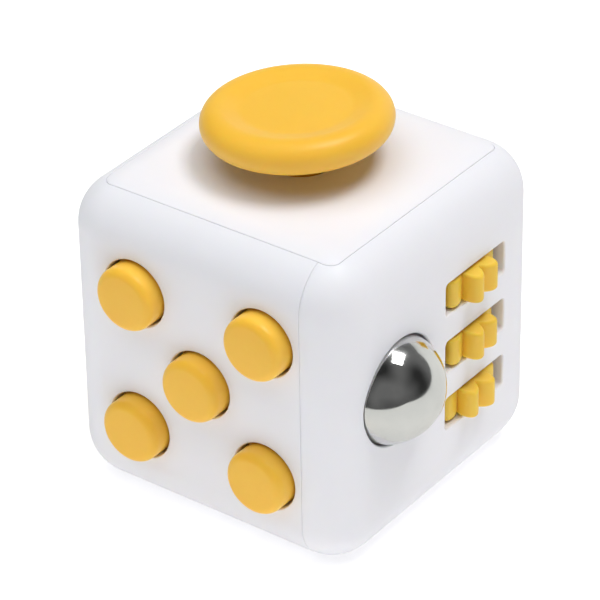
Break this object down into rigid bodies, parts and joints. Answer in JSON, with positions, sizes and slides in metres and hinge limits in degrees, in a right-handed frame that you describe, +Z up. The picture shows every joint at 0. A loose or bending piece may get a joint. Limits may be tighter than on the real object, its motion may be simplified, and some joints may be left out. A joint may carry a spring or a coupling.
{
  "type": "fidget cube",
  "caption": "Hand-sized fidget cube with push buttons, a steel ball, thumb gears, a joystick, a spin dial, a rocker switch and a worry-stone dimple.",
  "frame": {"origin": "centre of the cube's flat underside, where it stands", "axes": "+Z up through the joystick face; -Y out of the five-button face; +X out of the ball and gear face"},
  "size_m": [0.0412, 0.037, 0.0393],
  "materials": {
    "white_plastic": "satin moulded ABS",
    "orange_plastic": "satin moulded ABS, warm orange",
    "inner_plastic": "plain moulded inner parts",
    "polished_steel": "mirror-polished steel",
    "steel": "plain steel",
    "silicone": "soft translucent grey silicone"
  },
  "bodies": {
    "housing": {"ball_holder": "inner_plastic", "ball_screw_lower": "steel", "ball_screw_upper": "steel", "ball_spring": "steel", "bottom_panel": "white_plastic", "button_plate": "inner_plastic", "button_screw_left": "steel", "button_screw_lower": "steel", "button_screw_upper": "steel", "carrier_screw_lower_front": "steel", "carrier_screw_lower_rear": "steel", "carrier_screw_upper_front": "steel", "carrier_screw_upper_rear": "steel", "click_spring": "steel", "dial_carrier": "inner_plastic", "dome_centre": "silicone", "dome_lower_left": "silicone", "dome_lower_right": "silicone", "dome_upper_left": "silicone", "dome_upper_right": "silicone", "front_shell": "white_plastic", "gear_axle": "steel", "gear_bracket": "inner_plastic", "gear_screw_lower": "steel", "gear_screw_upper": "steel", "joystick_socket": "inner_plastic", "rear_shell": "white_plastic", "return_spring": "steel", "rocker_cradle": "inner_plastic", "rocker_pin": "steel", "rocker_screw_lower": "steel", "rocker_screw_upper": "steel", "socket_screw_front": "steel", "socket_screw_rear": "steel", "top_panel": "white_plastic"},
    "button_centre": {"button_centre": "orange_plastic"},
    "button_upper_left": {"button_upper_left": "orange_plastic"},
    "button_upper_right": {"button_upper_right": "orange_plastic"},
    "button_lower_left": {"button_lower_left": "orange_plastic"},
    "button_lower_right": {"button_lower_right": "orange_plastic"},
    "gimbal": {"gimbal_ring": "inner_plastic"},
    "joystick": {"joystick_cap": "orange_plastic", "joystick_stem": "orange_plastic", "joystick_pin": "steel"},
    "ball_seat": {"ball_seat": "inner_plastic"},
    "ball": {"steel_ball": "polished_steel"},
    "gear_upper": {"gear_upper": "orange_plastic"},
    "gear_middle": {"gear_middle": "orange_plastic"},
    "gear_lower": {"gear_lower": "orange_plastic"},
    "rocker": {"rocker": "orange_plastic"},
    "dial": {"dial": "orange_plastic", "dial_screw": "steel", "dial_washer": "steel"}
  },
  "joints": [
    {"name": "press_centre", "type": "slide", "parent": "housing", "child": "button_centre", "axis": [0, 1, 0], "range_m": [0, 0.0009], "stiffness_N_per_m": 900, "springref_m": -0.0006, "deforming": ["dome_centre"]},
    {"name": "press_upper_left", "type": "slide", "parent": "housing", "child": "button_upper_left", "axis": [0, 1, 0], "range_m": [0, 0.0009], "stiffness_N_per_m": 900, "springref_m": -0.0006, "deforming": ["dome_upper_left"]},
    {"name": "press_upper_right", "type": "slide", "parent": "housing", "child": "button_upper_right", "axis": [0, 1, 0], "range_m": [0, 0.0009], "stiffness_N_per_m": 900, "springref_m": -0.0006, "deforming": ["dome_upper_right"]},
    {"name": "press_lower_left", "type": "slide", "parent": "housing", "child": "button_lower_left", "axis": [0, 1, 0], "range_m": [0, 0.0009], "stiffness_N_per_m": 900, "springref_m": -0.0006, "deforming": ["dome_lower_left"]},
    {"name": "press_lower_right", "type": "slide", "parent": "housing", "child": "button_lower_right", "axis": [0, 1, 0], "range_m": [0, 0.0009], "stiffness_N_per_m": 900, "springref_m": -0.0006, "deforming": ["dome_lower_right"]},
    {"name": "joystick_tilt_front_rear", "type": "hinge", "parent": "housing", "child": "gimbal", "pos_m": [0, 0, 0.0295], "axis": [1, 0, 0], "range_deg": [-9, 9], "stiffness_Nm_per_rad": 0.03, "deforming": ["return_spring"]},
    {"name": "joystick_tilt_left_right", "type": "hinge", "parent": "gimbal", "child": "joystick", "pos_m": [0, 0, 0.0295], "axis": [0, 1, 0], "range_deg": [-6, 12], "stiffness_Nm_per_rad": 0.03, "deforming": ["return_spring"]},
    {"name": "ball_press", "type": "slide", "parent": "housing", "child": "ball_seat", "axis": [-1, 0, 0], "range_m": [0, 0.0008], "stiffness_N_per_m": 1200, "springref_m": -0.0008, "deforming": ["ball_spring"]},
    {"name": "ball_roll", "type": "hinge", "parent": "ball_seat", "child": "ball", "pos_m": [0.0151, -0.0074, 0.0173], "axis": [0, 0, 1], "continuous": true},
    {"name": "gear_spin_upper", "type": "hinge", "parent": "housing", "child": "gear_upper", "pos_m": [0.01375, 0.0049, 0.0231], "axis": [0, 0, 1], "continuous": true},
    {"name": "gear_spin_middle", "type": "hinge", "parent": "housing", "child": "gear_middle", "pos_m": [0.01375, 0.0049, 0.0167], "axis": [0, 0, 1], "continuous": true},
    {"name": "gear_spin_lower", "type": "hinge", "parent": "housing", "child": "gear_lower", "pos_m": [0.01375, 0.0049, 0.0103], "axis": [0, 0, 1], "continuous": true},
    {"name": "rocker_flip", "type": "hinge", "parent": "housing", "child": "rocker", "pos_m": [0, 0.0136, 0.0165], "axis": [1, 0, 0], "range_deg": [0, 18]},
    {"name": "dial_spin", "type": "hinge", "parent": "housing", "child": "dial", "pos_m": [-0.0165, 0, 0.0165], "axis": [-1, 0, 0], "continuous": true}
  ]
}
